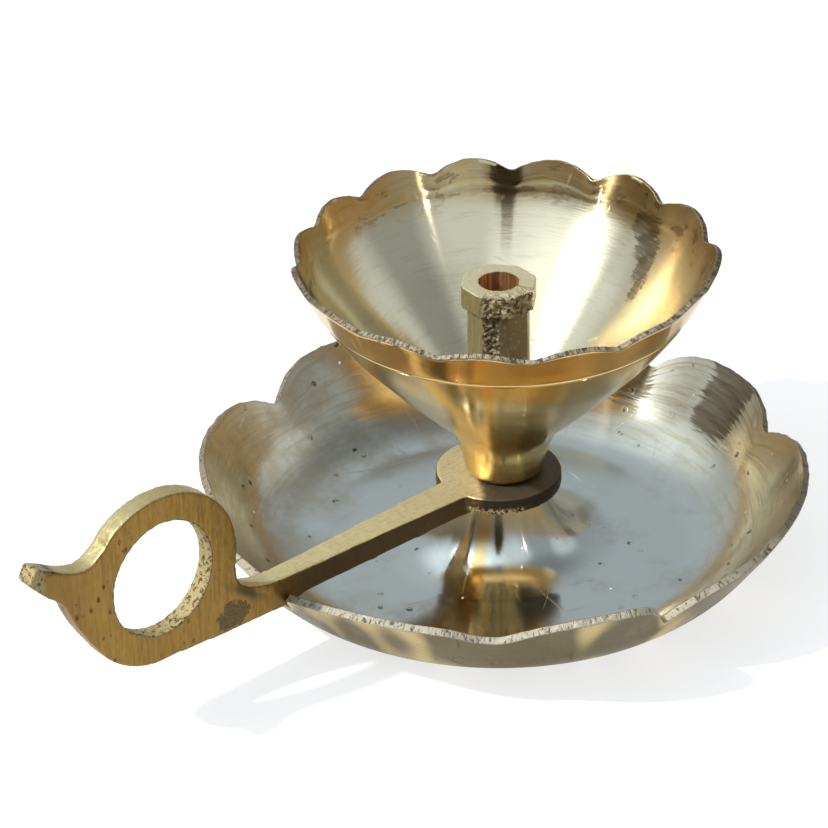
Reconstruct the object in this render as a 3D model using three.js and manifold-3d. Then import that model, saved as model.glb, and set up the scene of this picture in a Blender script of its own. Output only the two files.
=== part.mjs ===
// A brass diya on a drip plate: a scalloped oil cup with a wick post, on a ring handle.
// Millimetres, +Z up. The handle points along -X and the plate stands on z = 0.
import * as THREE from "three";
import { mergeVertices } from "three/addons/utils/BufferGeometryUtils.js";
import Module from "manifold-3d";

const wasm = await Module();
wasm.setup();

// fits
const seatGap = 0.05;
const screwClearance = 0.25;
const threadClearance = 0.08;
const notchClearance = 0.3;
const floorClearance = 0.35;

// drip plate
const plateRadius = 50;
const plateHeight = 15.5;
const plateWall = 1.6;
const plateFlare = 0.7;
const footRadius = 30;
const footInnerRadius = 19;
const humpRadius = 7.5;
const humpReach = 3.2;
const humpWall = 1.8;
const plateLobePower = 2.8;
const plateStepsPerLobe = 14;

// handle: lengths are measured outward from the screw
const handleTop = 15.1;
const eyeRadius = 10.2;
const eyeThickness = 2.7;
const barRootDepth = 3.4;
const barTipDepth = 4.4;
const barTipSag = 0.9;
const barRootWidth = 6.1;
const barTaperEnd = 54;
const ringThickness = 3.2;
const ringCentre = 69.3;
const ringHeight = 24.4;
const ringRadius = 14.2;
const ringHoleLength = 18.2;
const ringHoleHeight = 19;
const tailReach = 23.2;
const tailTipDepth = 2.4;
const tailTipRise = 11.2;

// oil cup
const cupRadius = 33.8;
const cupHeight = 39.2;
const cupWall = 1.5;
const cupShift = 0.9;
const cupShiftAngle = -42.5;
const cupFloorThickness = 5.4;
const cupFootRadius = 5.4;
const neckRadius = 6.45;
const neckChamfer = 1.1;
const cupLobePower = 1.8;
const cupStepsPerLobe = 8;
const cupGrooveHeight = 32;
const cupGrooveWidth = 0.7;
const cupGrooveDepth = 0.25;

// wick holder
const headAcross = 11.5;
const headHeight = 3.6;
const stemAcross = 9.5;
const octagonTurn = -4;
const postHeight = 28.6;
const wickBoreRadius = 3.18;
const boreWeb = 2.1;
const oilHoleRadius = 1.5;
const threadDepth = 8;

// fixing screw and washer
const screwRadius = 2;
const screwLength = 17.6;
const screwTipChamfer = 0.4;
const screwHeadRadius = 4;
const screwHeadHeight = 2.4;
const screwSlotWidth = 1;
const screwSlotDepth = 1.1;
const washerRadius = 5;
const washerThickness = 0.8;

const roundSteps = 32;
const eyeSteps = 64;
const overshoot = 1;

// scallops as filed by hand: where each valley lies, turned from the handle, how deep it is cut,
// how low the lobe that follows it stands, and how far along that lobe its highest place is
const plateLobes = [
  { at: 0, drop: 5.3, top: 0.5, peak: 0.7 },
  { at: 46, drop: 4.0, top: -1.6, peak: 0.68 },
  { at: 80.5, drop: 5.5, top: 0, peak: 0.55 },
  { at: 108.5, drop: 3.5, top: -0.3, peak: 0.55 },
  { at: 156.5, drop: 3.6, top: -0.3, peak: 0.5 },
  { at: 193, drop: 4.3, top: 0, peak: 0.5 },
  { at: 237.5, drop: 4.0, top: 0, peak: 0.5 },
  { at: 282, drop: 4.8, top: 0.6, peak: 0.5 },
  { at: 323.5, drop: 4.7, top: 0, peak: 0.5 },
];
const cupLobes = [
  { at: 5.5, drop: 1.1, top: 0.1, peak: 0.5 },
  { at: 29.5, drop: 2.2, top: 0.3, peak: 0.5 },
  { at: 53.5, drop: 2.3, top: 0.3, peak: 0.5 },
  { at: 79.5, drop: 2.5, top: 0.7, peak: 0.5 },
  { at: 98, drop: 0.9, top: -1.2, peak: 0.5 },
  { at: 119.5, drop: 2.0, top: -0.6, peak: 0.5 },
  { at: 148, drop: 1.8, top: -0.3, peak: 0.5 },
  { at: 175.5, drop: 2.1, top: -0.3, peak: 0.5 },
  { at: 200.5, drop: 2.3, top: -0.1, peak: 0.5 },
  { at: 225.5, drop: 2.1, top: -0.1, peak: 0.5 },
  { at: 248.5, drop: 1.9, top: -0.1, peak: 0.5 },
  { at: 273.5, drop: 2.2, top: 0.2, peak: 0.5 },
  { at: 295.5, drop: 2.1, top: 0.5, peak: 0.5 },
  { at: 319.5, drop: 2.5, top: 0.1, peak: 0.5 },
  { at: 340.5, drop: 1.7, top: 0.1, peak: 0.5 },
];

// heights of the stack on the screw
const eyeBottom = handleTop - eyeThickness;
const humpTop = eyeBottom - seatGap;
const humpUnder = humpTop - humpWall;
const cupFoot = handleTop + seatGap;
const cupFloor = cupFoot + cupFloorThickness;
const postFoot = cupFloor + seatGap;
const washerTop = humpUnder - seatGap;
const screwSeat = washerTop - washerThickness - seatGap;

function smoothThrough(knots, x) {
  let i = 0;
  while (i < knots.length - 2 && x > knots[i + 1][0]) {
    i += 1;
  }
  const [x0, y0] = knots[i];
  const [x1, y1] = knots[i + 1];
  const before = knots[Math.max(i - 1, 0)];
  const after = knots[Math.min(i + 2, knots.length - 1)];
  const span = x1 - x0;
  const m0 = span * (y1 - before[1]) / (x1 - before[0]);
  const m1 = span * (after[1] - y0) / (after[0] - x0);
  const t = (x - x0) / span;
  const a = 2 * t ** 3 - 3 * t ** 2 + 1;
  const b = t ** 3 - 2 * t ** 2 + t;
  const c = 3 * t ** 2 - 2 * t ** 3;
  const d = t ** 3 - t ** 2;
  return a * y0 + b * m0 + c * y1 + d * m1;
}

function lobeStations(lobes, power, stepsPerLobe) {
  const stations = [];
  lobes.forEach((lobe, i) => {
    const next = lobes[(i + 1) % lobes.length];
    const span = (next.at - lobe.at + 360) % 360;
    for (let k = 0; k < stepsPerLobe; k += 1) {
      const part = k / stepsPerLobe;
      const before = part < lobe.peak;
      const edge = before ? lobe.drop : next.drop;
      const away = before ? 1 - part / lobe.peak : (part - lobe.peak) / (1 - lobe.peak);
      stations.push({
        angle: THREE.MathUtils.degToRad(180 + lobe.at + span * part),
        drop: lobe.top + (edge - lobe.top) * away ** power,
      });
    }
  });
  return stations;
}

// A closed ring of profile loops, one per station. profileAt(drop) gives [radius, height] pairs,
// the same number each time, running up the outside and back down the inside.
function scallopedBody(stations, profileAt) {
  const positions = [];
  const index = [];
  const count = profileAt(0).length;
  for (const { angle, drop } of stations) {
    for (const [radius, height] of profileAt(drop)) {
      positions.push(radius * Math.cos(angle), radius * Math.sin(angle), height);
    }
  }
  const turns = stations.length;
  for (let i = 0; i < turns; i += 1) {
    const j = (i + 1) % turns;
    for (let k = 0; k < count; k += 1) {
      const l = (k + 1) % count;
      const a = i * count + k;
      const b = j * count + k;
      const c = j * count + l;
      const d = i * count + l;
      index.push(a, b, c, a, c, d);
    }
  }
  const geometry = new THREE.BufferGeometry();
  geometry.setAttribute("position", new THREE.Float32BufferAttribute(positions, 3));
  geometry.setIndex(index);
  return geometry;
}

// joins points that coincide, and leaves out the triangles that this closes up
function toSolid(geometry) {
  const plain = geometry.clone();
  plain.deleteAttribute("normal");
  plain.deleteAttribute("uv");
  const merged = mergeVertices(plain, 1e-4);
  const triangles = [];
  const index = merged.index.array;
  for (let i = 0; i < index.length; i += 3) {
    const [a, b, c] = index.slice(i, i + 3);
    if (a !== b && b !== c && c !== a) {
      triangles.push(a, b, c);
    }
  }
  return new wasm.Manifold(new wasm.Mesh({
    numProp: 3,
    vertProperties: new Float32Array(merged.attributes.position.array),
    triVerts: new Uint32Array(triangles),
  }));
}

function toGeometry(solid) {
  const mesh = solid.getMesh();
  const geometry = new THREE.BufferGeometry();
  geometry.setAttribute("position", new THREE.BufferAttribute(mesh.vertProperties, 3));
  geometry.setIndex(new THREE.BufferAttribute(mesh.triVerts, 1));
  return geometry;
}

// an upright cylinder from one height to another, round or with few sides
function upright(radius, low, high, sides = roundSteps, turn = 0) {
  const geometry = new THREE.CylinderGeometry(radius, radius, high - low, sides);
  geometry.rotateX(Math.PI / 2);
  geometry.rotateZ(THREE.MathUtils.degToRad(turn));
  geometry.translate(0, 0, (low + high) / 2);
  return toSolid(geometry);
}

function octagon(across, low, high) {
  const halfSide = 180 / 8;
  return upright(across / 2 / Math.cos(Math.PI / 8), low, high, 8, octagonTurn + halfSide);
}

function cupPlace() {
  const angle = THREE.MathUtils.degToRad(cupShiftAngle);
  return [cupShift * Math.cos(angle), cupShift * Math.sin(angle)];
}

// plate

// the hump's flank falls away like a trumpet's bell and ends where the flat foot begins
function humpFlank(part) {
  const width = footInnerRadius - humpRadius;
  const fade = Math.exp(-part * width / humpReach);
  const rest = Math.exp(-width / humpReach);
  const rise = (humpTop - plateWall) / (1 - rest);
  return {
    radius: humpRadius + part * width,
    height: plateWall + rise * (fade - rest),
    slope: -rise * fade / humpReach,
  };
}

function humpOutlines() {
  const parts = [0.06, 0.14, 0.25, 0.42, 0.65];
  const upper = [[humpRadius, humpTop]];
  const lower = [[humpRadius - humpWall, humpUnder]];
  for (const part of parts) {
    const { radius, height, slope } = humpFlank(part);
    const length = Math.hypot(1, slope);
    upper.push([radius, height]);
    lower.push([radius + plateWall * slope / length, Math.max(height - plateWall / length, 0)]);
  }
  upper.push([footInnerRadius, plateWall]);
  lower.push([footInnerRadius, 0]);
  return { upper, lower };
}

// arc of the plate's outside from the foot into the flared wall, with the wall's length
function plateBend() {
  const lean = Math.atan2(1, plateFlare);
  const width = plateRadius - footRadius;
  const det = Math.sin(lean) * Math.sin(lean) - Math.cos(lean) * (1 - Math.cos(lean));
  const radius = (width * Math.sin(lean) - plateHeight * Math.cos(lean)) / det;
  return { lean, radius };
}

function plateProfile(drop) {
  const { lean, radius } = plateBend();
  const inward = [-Math.sin(lean) * plateWall, Math.cos(lean) * plateWall];
  const { upper, lower } = humpOutlines();
  const hole = screwRadius + screwClearance;
  const arc = [0, 0.25, 0.5, 0.75, 1].map((t) => t * lean);
  const outerArc = arc.map((a) => [footRadius + radius * Math.sin(a), radius * (1 - Math.cos(a))]);
  const innerArc = arc.map((a) => [
    footRadius + (radius - plateWall) * Math.sin(a),
    plateWall + (radius - plateWall) * (1 - Math.cos(a)),
  ]);
  const rim = [plateRadius - plateFlare * drop, plateHeight - drop];
  const rimInside = [rim[0] + inward[0], rim[1] + inward[1]];
  return [
    [hole, humpUnder],
    ...lower,
    ...outerArc,
    rim,
    rimInside,
    ...innerArc.reverse(),
    ...upper.reverse(),
    [hole, humpTop],
  ];
}

function dripPlate() {
  const stations = lobeStations(plateLobes, plateLobePower, plateStepsPerLobe);
  const dish = toSolid(scallopedBody(stations, plateProfile));
  const barWidth = barWidthAt(plateRadius - plateFlare * plateLobes[0].drop);
  const notchFloor = handleTop - barTipDepth - barTipSag - notchClearance;
  const notch = new THREE.BoxGeometry(
    plateRadius - footRadius,
    barWidth + 2 * notchClearance,
    plateHeight,
  );
  notch.translate(-(plateRadius + footRadius) / 2 - overshoot, 0, notchFloor + plateHeight / 2);
  return toGeometry(dish.subtract(toSolid(notch)));
}

// handle

function barWidthAt(out) {
  const part = Math.min((out - eyeRadius) / (barTaperEnd - eyeRadius), 1);
  return barRootWidth + (ringThickness - barRootWidth) * part;
}

function ringPoint(degrees) {
  const angle = THREE.MathUtils.degToRad(degrees);
  return [ringCentre + ringRadius * Math.cos(angle), ringHeight + ringRadius * Math.sin(angle)];
}

function handleSide() {
  const side = new THREE.Shape();
  const root = eyeRadius - 2;
  const blend = 8;
  const [meetX, meetZ] = ringPoint(193);
  const [shoulderX, shoulderZ] = ringPoint(50);
  const [chinX, chinZ] = ringPoint(-25);
  const tip = ringCentre + tailReach;
  const tipTop = ringHeight + tailTipRise;
  const ringFoot = ringHeight - ringRadius - 0.4;
  side.moveTo(root, handleTop);
  side.lineTo(meetX - blend, handleTop);
  side.quadraticCurveTo(meetX - 0.6, handleTop, meetX, meetZ);
  side.absarc(ringCentre, ringHeight, ringRadius, Math.PI * 193 / 180, Math.PI * 50 / 180, true);
  side.bezierCurveTo(
    shoulderX + 2.4, shoulderZ - 2,
    shoulderX + 4.4, shoulderZ - 4.4,
    tip - 5, tipTop - 2,
  );
  side.lineTo(tip - 0.6, tipTop);
  side.lineTo(tip + 0.5, tipTop - tailTipDepth);
  side.bezierCurveTo(tip - 3, tipTop - 6.4, chinX + 3.4, chinZ + 10.5, chinX, chinZ);
  side.absarc(ringCentre, ringHeight, ringRadius, -Math.PI * 25 / 180, -Math.PI * 97 / 180, true);
  side.lineTo(barTaperEnd + 3, ringFoot);
  side.lineTo(meetX - blend - 2, handleTop - barTipDepth - barTipSag);
  side.lineTo(meetX - blend - 5, handleTop - barTipDepth);
  side.lineTo(root, handleTop - barRootDepth);
  const hole = new THREE.Path();
  hole.absellipse(ringCentre, ringHeight, ringHoleLength / 2, ringHoleHeight / 2, 0, 2 * Math.PI);
  side.holes.push(hole);
  return side;
}

function handlePlan() {
  const plan = new THREE.Shape();
  const root = eyeRadius - 2;
  const end = ringCentre + tailReach + overshoot;
  const rootHalf = barWidthAt(root) / 2;
  const tipHalf = ringThickness / 2;
  plan.moveTo(root, -rootHalf);
  plan.lineTo(barTaperEnd, -tipHalf);
  plan.lineTo(end, -tipHalf);
  plan.lineTo(end, tipHalf);
  plan.lineTo(barTaperEnd, tipHalf);
  plan.lineTo(root, rootHalf);
  return plan;
}

function handle() {
  const wide = 2 * barRootWidth;
  const tall = 2 * (ringHeight + ringRadius);
  const side = new THREE.ExtrudeGeometry(handleSide(), { depth: wide, bevelEnabled: false, curveSegments: 28 });
  side.translate(0, 0, -wide / 2);
  side.rotateX(Math.PI / 2);
  const plan = new THREE.ExtrudeGeometry(handlePlan(), { depth: tall, bevelEnabled: false });
  const arm = toSolid(side).intersect(toSolid(plan)).rotate([0, 0, 180]);
  const eye = upright(eyeRadius, eyeBottom, handleTop, eyeSteps);
  const hole = upright(screwRadius + screwClearance, 0, 2 * handleTop);
  return toGeometry(arm.add(eye).subtract(hole));
}

// oil cup, with heights above its foot

function cupOutside(height) {
  const knots = [
    [neckChamfer, neckRadius],
    [4.4, 7.2],
    [8.4, 8.9],
    [12.4, 12.8],
    [16.4, 16.8],
    [20.4, 20.6],
    [25.4, 25.1],
    [32, 29.9],
    [36.4, 32.3],
    [cupHeight, cupRadius],
    [cupHeight + 2, cupRadius + 0.9],
  ];
  return smoothThrough(knots, height);
}

function cupInsidePoint(height) {
  const step = 0.05;
  const slope = (cupOutside(height + step) - cupOutside(height - step)) / (2 * step);
  const length = Math.hypot(1, slope);
  return [cupOutside(height) - cupWall / length, height + cupWall * slope / length];
}

function cupProfile(drop) {
  const [dx, dy] = cupPlace();
  const hole = screwRadius + screwClearance + Math.hypot(dx, dy);
  const floorRadius = stemAcross / 2 / Math.cos(Math.PI / 8) + Math.hypot(dx, dy) + floorClearance;
  const top = cupHeight - drop;
  const bandLow = cupGrooveHeight + cupGrooveWidth;
  const bandMiddle = (bandLow + top) / 2;
  const grooveSide = cupGrooveWidth / 2;
  const heights = [neckChamfer, 4.4, 6.6, 8.8, 11, 14, 17.5, 21, 25.4, 29];
  const outside = heights.map((h) => [cupOutside(h), h]);
  const groove = [
    [cupOutside(cupGrooveHeight - grooveSide), cupGrooveHeight - grooveSide],
    [cupOutside(cupGrooveHeight) - cupGrooveDepth, cupGrooveHeight],
    [cupOutside(cupGrooveHeight + grooveSide), cupGrooveHeight + grooveSide],
  ];
  const inside = [29, 25.4, 21, 17.5, 14, 11, 8.8].map(cupInsidePoint);
  return [
    [hole, 0],
    [cupFootRadius, 0],
    ...outside,
    ...groove,
    [cupOutside(bandMiddle), bandMiddle],
    [cupOutside(top), top],
    cupInsidePoint(top),
    cupInsidePoint(bandMiddle),
    ...inside,
    [floorRadius, cupFloorThickness],
    [hole, cupFloorThickness],
  ];
}

function oilCup() {
  const [dx, dy] = cupPlace();
  const stations = lobeStations(cupLobes, cupLobePower, cupStepsPerLobe);
  const bowl = scallopedBody(stations, cupProfile);
  bowl.translate(dx, dy, cupFoot);
  return bowl;
}

// wick holder, screw and washer

function wickHolder() {
  const top = postFoot + postHeight;
  const threadTop = postFoot + threadDepth;
  const boreFoot = threadTop + boreWeb;
  const head = octagon(headAcross, top - headHeight, top);
  const stem = octagon(stemAcross, postFoot, top - headHeight / 2);
  const bore = upright(wickBoreRadius, boreFoot, top + overshoot);
  const thread = upright(screwRadius + threadClearance, postFoot - overshoot, threadTop);
  const oil = new THREE.CylinderGeometry(oilHoleRadius, oilHoleRadius, 2 * headAcross, roundSteps);
  oil.translate(0, 0, boreFoot + oilHoleRadius);
  return toGeometry(head.add(stem).subtract(bore).subtract(thread).subtract(toSolid(oil)));
}

function fixingScrew() {
  const crown = screwHeadRadius * 0.78;
  const shoulder = screwHeadHeight * 0.6;
  const low = screwSeat - screwHeadHeight;
  const profile = [
    [0, low],
    [crown, low],
    [screwHeadRadius, low + screwHeadHeight - shoulder],
    [screwHeadRadius, screwSeat],
    [screwRadius, screwSeat],
    [screwRadius, screwSeat + screwLength - screwTipChamfer],
    [screwRadius - screwTipChamfer, screwSeat + screwLength],
    [0, screwSeat + screwLength],
  ];
  const turned = new THREE.LatheGeometry(profile.map(([r, z]) => new THREE.Vector2(r, z)), roundSteps);
  turned.rotateX(Math.PI / 2);
  const slot = new THREE.BoxGeometry(3 * screwHeadRadius, screwSlotWidth, 2 * screwSlotDepth);
  slot.translate(0, 0, low);
  return toGeometry(toSolid(turned).subtract(toSolid(slot)));
}

function washer() {
  const disc = upright(washerRadius, washerTop - washerThickness, washerTop);
  const hole = upright(screwRadius + screwClearance, washerTop - 2 * washerThickness, washerTop + overshoot);
  return toGeometry(disc.subtract(hole));
}

function piece(name, geometry, colour, roughness) {
  const flat = geometry.toNonIndexed();
  flat.computeVertexNormals();
  const material = new THREE.MeshStandardMaterial({ color: colour, roughness, metalness: 1 });
  const mesh = new THREE.Mesh(flat, material);
  mesh.name = name;
  return mesh;
}

const diya = new THREE.Group();
diya.name = "brass_diya";
diya.add(piece("drip_plate", dripPlate(), 0xb9a878, 0.16));
diya.add(piece("handle", handle(), 0xa88642, 0.42));
diya.add(piece("oil_cup", oilCup(), 0xc79a45, 0.18));
diya.add(piece("wick_holder", wickHolder(), 0x8f7d4e, 0.55));
diya.add(piece("fixing_screw", fixingScrew(), 0xb08d4a, 0.35));
diya.add(piece("washer", washer(), 0xb49a5c, 0.35));

// the row's origin lies under the middle of the whole outline
const outline = new THREE.Box3().setFromObject(diya);
const middle = outline.getCenter(new THREE.Vector3());
for (const mesh of diya.children) {
  mesh.geometry.translate(-middle.x, -middle.y, -outline.min.z);
}

export default diya;
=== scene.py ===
from math import atan2, cos, degrees, exp, hypot, pi, radians, sin

import bmesh
import bpy
from mathutils import Matrix, Vector, noise


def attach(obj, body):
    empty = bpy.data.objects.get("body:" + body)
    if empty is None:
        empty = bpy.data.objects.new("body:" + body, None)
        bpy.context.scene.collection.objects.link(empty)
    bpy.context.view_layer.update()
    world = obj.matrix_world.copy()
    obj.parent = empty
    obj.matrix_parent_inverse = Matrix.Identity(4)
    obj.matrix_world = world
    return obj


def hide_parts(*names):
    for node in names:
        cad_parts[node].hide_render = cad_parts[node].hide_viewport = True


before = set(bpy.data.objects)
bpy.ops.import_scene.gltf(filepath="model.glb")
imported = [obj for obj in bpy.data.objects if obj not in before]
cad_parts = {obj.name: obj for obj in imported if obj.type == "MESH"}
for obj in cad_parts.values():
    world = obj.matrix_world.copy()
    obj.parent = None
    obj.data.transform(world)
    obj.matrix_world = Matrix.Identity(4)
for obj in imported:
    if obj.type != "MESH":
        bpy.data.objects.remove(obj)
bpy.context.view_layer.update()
print("frame loaded")

screwAxis = (21.429, 0.056)     # mm, where the stack's axis stands in the row frame


# shader maths: a Wire is a socket that can be added, multiplied and so on

class Wire:
    def __init__(self, graph, socket):
        self.graph = graph
        self.socket = socket

    def maths(self, operation, *values):
        return self.graph.add("ShaderNodeMath", {"operation": operation}, list(values))

    def __add__(self, other):
        return self.maths("ADD", self, other)

    def __radd__(self, other):
        return self.maths("ADD", other, self)

    def __sub__(self, other):
        return self.maths("SUBTRACT", self, other)

    def __rsub__(self, other):
        return self.maths("SUBTRACT", other, self)

    def __mul__(self, other):
        return self.maths("MULTIPLY", self, other)

    def __rmul__(self, other):
        return self.maths("MULTIPLY", other, self)

    def __truediv__(self, other):
        return self.maths("DIVIDE", self, other)

    def __pow__(self, other):
        return self.maths("POWER", self, other)

    def step(self, low, high):
        return self.graph.add("ShaderNodeMapRange", {"interpolation_type": "SMOOTHSTEP"},
                              {"Value": self, "From Min": low, "From Max": high})

    def near(self, centre, reach):
        return 1 - self.maths("ABSOLUTE", self - centre).step(0, reach)


class Graph:
    def __init__(self, tree):
        self.tree = tree

    def add(self, kind, settings, values, output=0):
        node = self.tree.nodes.new(kind)
        for key, value in settings.items():
            setattr(node, key, value)
        pairs = values.items() if isinstance(values, dict) else enumerate(values)
        for key, value in pairs:
            self.feed(node.inputs[key], value)
        return Wire(self, node.outputs[output])

    def feed(self, socket, value):
        if isinstance(value, Wire):
            self.tree.links.new(value.socket, socket)
        elif isinstance(value, tuple) and len(socket.default_value) == 4:
            socket.default_value = (*value, 1)
        else:
            socket.default_value = value

    def vector(self, operation, *values, output=0):
        return self.add("ShaderNodeVectorMath", {"operation": operation}, list(values), output)

    def split(self, vector):
        return [self.add("ShaderNodeSeparateXYZ", {}, [vector], axis) for axis in range(3)]

    def join(self, x, y, z):
        return self.add("ShaderNodeCombineXYZ", {}, [x, y, z])

    def speckle(self, vector, scale, detail=2, rough=0.5):
        return self.add("ShaderNodeTexNoise", {}, {"Vector": vector, "Scale": scale,
                                                   "Detail": detail, "Roughness": rough})

    def cells(self, vector, scale):
        return self.add("ShaderNodeTexVoronoi", {}, {"Vector": vector, "Scale": scale})

    def blend(self, factor, first, second):
        # inputs 6 and 7 and output 2 are the colour ones
        return self.add("ShaderNodeMix", {"data_type": "RGBA"},
                        {0: factor, 6: first, 7: second}, 2)

    def attribute(self, name):
        return self.add("ShaderNodeAttribute", {"attribute_name": name}, {}, "Fac")


class Finish(Graph):
    def __init__(self, name, centre=(0, 0)):
        self.material = bpy.data.materials.new(name)
        self.material.use_nodes = True
        super().__init__(self.material.node_tree)
        self.shader = self.tree.nodes["Principled BSDF"]
        self.set("Metallic", 1.0)
        spot = self.add("ShaderNodeTexCoord", {}, {}, "Object")
        moved = self.vector("SUBTRACT", spot, ((screwAxis[0] + centre[0]) / 1000,
                                               (screwAxis[1] + centre[1]) / 1000, 0))
        self.place = self.vector("MULTIPLY", moved, (1000, 1000, 1000))     # in millimetres
        self.x, self.y, self.z = self.split(self.place)
        square = self.x * self.x + self.y * self.y
        self.radius = square.maths("SQRT", square)

    def set(self, name, value):
        self.feed(self.shader.inputs[name], value)

    def lathe(self, along, around, pitch):
        # stretched round the axis, so that noise on it looks like turning marks
        return self.join(self.x / self.radius * around, self.y / self.radius * around,
                         along / pitch)

    def between(self, span):
        # 0 inside the first radius, 1 outside the second
        return self.radius.step(*span)

    def facing(self, turn, inner, outer):
        # 1 towards this turn of the row frame, fading out between the two angles
        side = (self.x * cos(radians(turn)) + self.y * sin(radians(turn))) / self.radius
        return side.step(cos(radians(outer)), cos(radians(inner)))

    def scratches(self, turn, spacing):
        # thin long lines across the surface, one direction of many
        c, s = cos(radians(turn)) / spacing, sin(radians(turn)) / spacing
        long = (self.x * c + self.y * s) * 0.05
        return self.speckle(self.join(long, self.y * c - self.x * s, self.z * 0.2), 1, 2) \
            .step(0.68, 0.74)

    def relief(self, *layers):
        normal = None
        for height, depth in layers:
            values = {"Height": height, "Distance": depth / 1000, "Strength": 1.0}
            if normal:
                values["Normal"] = normal
            normal = self.add("ShaderNodeBump", {}, values)
        self.set("Normal", normal)


print("tools ready")


# finishes

plateLook = {
    "floor": (0.84, 0.83, 0.73), "wall": (0.87, 0.78, 0.57), "outside": (0.6, 0.47, 0.2),
    "under": (0.15, 0.115, 0.045), "dull": (0.62, 0.55, 0.42), "ring": (0.62, 0.48, 0.28),
    "edge": (0.62, 0.55, 0.4), "shadedEdge": (0.34, 0.28, 0.18), "notch": (0.12, 0.09, 0.055),
    # paintedReflection is the cup's lit neck, painted as its reflection on the plate
    "darkPatch": (0.2, 0.13, 0.06), "paintedReflection": (1.0, 0.7, 0.27), "speck": (0.07, 0.055, 0.04),
    "glint": (0.95, 0.93, 0.88), "rough": 0.12, "marks": 0.016, "fine": 0.005, "waves": 0.05,
    # turns are of the row frame in degrees, spans are from and to a radius in mm
    "wallSpan": (31, 43), "dimTurn": 120, "dimSpan": (20, 40), "litTurn": 227,
    "reflectionTurn": 211.5, "reflectionStart": (6, 9), "reflectionEnd": (20, 31), "reflectionWiden": 0.11,
    # darkPatches on the plate are a painted reflection of the dark cup and rim on its wall
    "darkPatches": [(17, 8, 40), (33, 24, 44.5), (352, 9, 40)],      # turn, half width, from radius
    "scratches": [(35, 0.8), (-20, 0.9), (80, 1.1)],            # turn and spacing
}


def plateFinish():
    look = plateLook
    finish = Finish("plateBrass")
    inner, edge, along = [finish.attribute(name) for name in ("inner", "edge", "along")]
    turning = finish.speckle(finish.lathe(along, 4, 1.1), 1, 4, 0.65)
    fine = finish.speckle(finish.lathe(along, 12, 0.28), 1, 2, 0.6)
    waves = finish.speckle(finish.place, 0.05, 1)
    cloud = finish.speckle(finish.place, 0.09, 5, 0.65)
    drawn = sum(finish.scratches(*way) for way in look["scratches"])
    wall = finish.between(look["wallSpan"])
    colour = finish.blend(wall, look["floor"], look["wall"])
    colour = finish.blend(turning.step(0.47, 0.66) * wall * 0.6, colour, look["ring"])
    colour = finish.blend(cloud.step(0.52, 0.75) * 0.5, colour, look["dull"])
    # the floor and wall are darker towards dimTurn
    dimmed = finish.facing(look["dimTurn"], 30, 100) * finish.between(look["dimSpan"])
    colour = finish.blend(dimmed * cloud.step(0.38, 0.6) * 0.65, colour, look["ring"])
    # dark patches on the wall are a painted reflection of the dark cup and rim; they end in lines
    # along the turning
    ragged = (turning - 0.5) * 1.3 + (fine - 0.5) * 0.9
    for turn, half, low in look["darkPatches"]:
        patch = finish.facing(turn, 0, half) * finish.between((low, low + 4))
        patch = (patch + ragged).step(0.38, 0.7) * (0.4 + turning * 0.8)
        colour = finish.blend(patch, colour, look["darkPatch"])
    # a painted reflection of the cup's lit neck runs down the flank from the eye
    lean = radians(look["reflectionTurn"])
    out = finish.x * cos(lean) + finish.y * sin(lean)
    aside = finish.x * sin(lean) - finish.y * cos(lean)
    widening = (out - look["reflectionStart"][1]) * look["reflectionWiden"]
    aside = aside.maths("ABSOLUTE", aside) - widening + ragged * 0.5
    paintedReflection = (1 - aside.step(0.5, 1.3)) * out.step(*look["reflectionStart"]) \
        * (1 - out.step(*look["reflectionEnd"]))
    colour = finish.blend(paintedReflection * 0.85, colour, look["paintedReflection"])
    grain = finish.speckle(finish.place, 1.3, 3, 0.7)
    fewer = finish.speckle(finish.place, 0.08, 2).step(0.46, 0.54)
    specks = (1 - finish.cells(finish.place, 0.24).step(0.08, 0.17)) * fewer \
        * grain.step(0.46, 0.52)
    colour = finish.blend(specks * 0.9, colour, look["speck"])
    glints = (1 - finish.cells(finish.place, 0.13).step(0.02, 0.045)) * inner
    colour = finish.blend(glints, colour, look["glint"])
    band = finish.speckle(finish.lathe(along, 2.6, 40), 1, 2).step(0.43, 0.53)
    outside = finish.blend(band, look["outside"], look["under"])
    colour = finish.blend(inner, outside, colour)
    filed = finish.speckle(finish.lathe(along * 0.8, 115, 1), 1, 4, 0.75)
    # cut faces turned away from litTurn take a darker colour, a painted shade
    cut = finish.blend(finish.facing(look["litTurn"], 45, 80), look["shadedEdge"], look["edge"])
    cut = finish.blend(filed.step(0.37, 0.5), look["notch"], cut)
    colour = finish.blend(edge, colour, cut)
    finish.set("Base Color", colour)
    worn = look["rough"] + 0.07 * cloud.step(0.45, 0.7) + 0.05 * wall * turning + 0.1 * drawn
    finish.set("Roughness", worn + edge * 0.3 + (1 - inner) * 0.12)
    finish.set("Metallic", (1 - edge * 0.6) * (1 - glints))
    finish.set("Anisotropic", 0.95)
    finish.set("Anisotropic Rotation", 0.25)
    finish.relief((waves, look["waves"]), (turning * (0.35 + 1.3 * wall), look["marks"]),
                  (fine, look["fine"]), (drawn, -0.003), (filed * edge, 0.3), (specks, -0.03))
    return finish.material


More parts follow.
